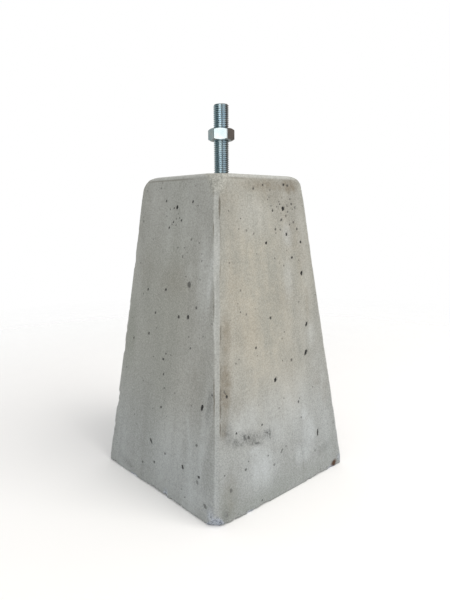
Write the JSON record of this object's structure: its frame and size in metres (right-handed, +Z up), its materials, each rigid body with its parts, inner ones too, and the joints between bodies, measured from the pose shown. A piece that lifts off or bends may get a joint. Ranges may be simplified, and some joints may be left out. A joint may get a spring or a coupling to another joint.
{
  "type": "column base block",
  "caption": "Tapered square concrete base block with a cast-in upright threaded rod and a height-setting nut; carries a timber or steel column clear of the ground.",
  "frame": {"origin": "centre of the block's underside, on the rod's axis", "axes": "+Z up along the rod; the block's four faces look along +X, -X, +Y and -Y; the picture looks at the upright edge between the +X and -Y faces"},
  "size_m": [0.2396, 0.2396, 0.492],
  "materials": {
    "concrete": "matt cast concrete, air pits, grey-brown stains",
    "zinc_plated_steel": "bright zinc plating, satin"
  },
  "bodies": {
    "base": {"concrete_block": "concrete", "threaded_rod": "zinc_plated_steel"},
    "nut": {"hex_nut": "zinc_plated_steel"}
  },
  "joints": [
    {"name": "nut_travel", "type": "slide", "parent": "base", "child": "nut", "axis": [0, 0, 1], "range_m": [-0.0465, 0.03]}
  ]
}
